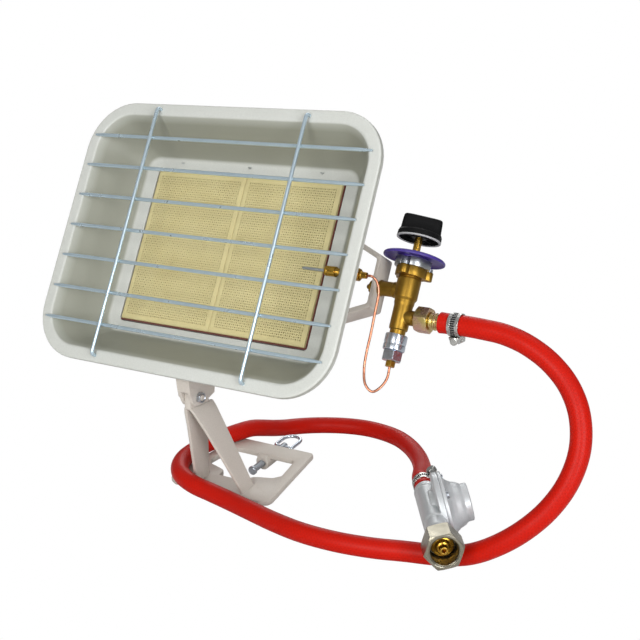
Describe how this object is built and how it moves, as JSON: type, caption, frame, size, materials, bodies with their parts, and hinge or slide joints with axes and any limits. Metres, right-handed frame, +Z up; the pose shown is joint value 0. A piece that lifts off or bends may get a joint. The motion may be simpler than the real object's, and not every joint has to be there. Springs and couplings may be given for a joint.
{
  "type": "portable propane heater",
  "caption": "Tilting radiant gas heater head with ceramic burner, guard, gas valve and thermocouple, on a clamp stand with hose and regulator.",
  "frame": {"origin": "middle of the stand's front bottom edge, on the ground", "axes": "+Z up, +X to the right along the dish towards the valve, -Y to the front"},
  "size_m": [0.456, 0.2652, 0.3202],
  "materials": {
    "paint_grey": "smooth matt stove paint",
    "paint_warm": "smooth matt stove paint",
    "zinc": "bright zinc plate",
    "brass": "turned and forged brass",
    "copper": "drawn copper",
    "ceramic": "matt fired ceramic",
    "strip": "red-brown sealing strip",
    "housing": "matt grey",
    "steel": "plain stainless steel",
    "cast": "die-cast, matt silver",
    "purple": "deep indigo",
    "black": "satin black",
    "hose": "smooth orange-red",
    "dark_rubber": "black rubber",
    "olive_zinc": "yellow-passivated zinc",
    "nickel": "nickel plate"
  },
  "bodies": {
    "stand": {"stand_frame": "paint_warm", "gas_hose": "hose", "regulator_body": "cast", "regulator_diaphragm": "dark_rubber", "regulator_spring": "zinc", "regulator_cover": "cast", "cover_screws": "zinc", "adjuster_cap": "cast", "outlet_clamp_band": "steel", "outlet_clamp_screw": "steel", "inlet_nipple": "brass"},
    "head": {"reflector_dish": "paint_grey", "guard_cross_wires": "zinc", "guard_upright_wires": "zinc", "burner_tile_left": "ceramic", "burner_tile_right": "ceramic", "tile_gasket": "strip", "burner_housing": "housing", "housing_screws": "zinc", "baffle_plate": "steel", "venturi_tube": "steel", "thermocouple_probe": "steel", "thermocouple_inner_nut": "brass", "thermocouple_outer_nut": "brass", "thermocouple_ferrule": "brass", "thermocouple_lead": "copper", "valve_bracket": "paint_grey", "bracket_screws": "zinc", "gas_jet": "brass", "valve_body": "brass", "valve_flange": "brass", "valve_collar": "cast", "collar_screws": "zinc", "indicator_disc": "purple", "stem_spring": "zinc", "magnet_housing": "zinc", "magnet_hexagon": "zinc", "lead_nut": "brass", "inlet_union_nut": "olive_zinc", "inlet_hose_barb": "olive_zinc", "inlet_clamp_band": "steel", "inlet_clamp_screw": "steel", "head_bracket": "paint_warm", "head_bracket_screws": "zinc", "hinge_pin": "paint_warm", "hinge_nut": "zinc"},
    "valve_plug": {"valve_plug": "brass"},
    "knob": {"valve_stem": "brass", "control_knob": "black"},
    "screw_tip": {"clamp_tip": "zinc"},
    "clamp_screw": {"clamp_screw": "zinc", "clamp_handle": "zinc"},
    "union_nut": {"union_nut": "nickel"}
  },
  "joints": [
    {"name": "head_tilt", "type": "hinge", "parent": "stand", "child": "head", "pos_m": [0, -0.027, 0.095], "axis": [1, 0, 0], "range_deg": [-20, 26], "deforming": ["gas_hose"]},
    {"name": "knob_turn", "type": "hinge", "parent": "head", "child": "valve_plug", "pos_m": [0.157, 0.04093, 0.1941], "axis": [0, 0.4384, 0.8988], "range_deg": [0, 180]},
    {"name": "knob_push", "type": "slide", "parent": "valve_plug", "child": "knob", "axis": [0, -0.4384, -0.8988], "range_m": [0, 0.003], "stiffness_N_per_m": 1500, "springref_m": -0.003, "deforming": ["stem_spring"]},
    {"name": "clamp_travel", "type": "slide", "parent": "stand", "child": "screw_tip", "axis": [0, 0.9904, 0.1382], "range_m": [-0.0097, 0.0077]},
    {"name": "clamp_turn", "type": "hinge", "parent": "screw_tip", "child": "clamp_screw", "pos_m": [0, 0.05588, 0.00477], "axis": [0, 0.9904, 0.1382], "range_deg": [-3600, 2880]},
    {"name": "nut_spin", "type": "hinge", "parent": "stand", "child": "union_nut", "pos_m": [0.22519, -0.03339, 0.02547], "axis": [0.5519, -0.8339, 0], "continuous": true}
  ],
  "couplings": [
    {"joint": "clamp_turn", "follows": "clamp_travel", "rad_per_m": 6283.2}
  ]
}
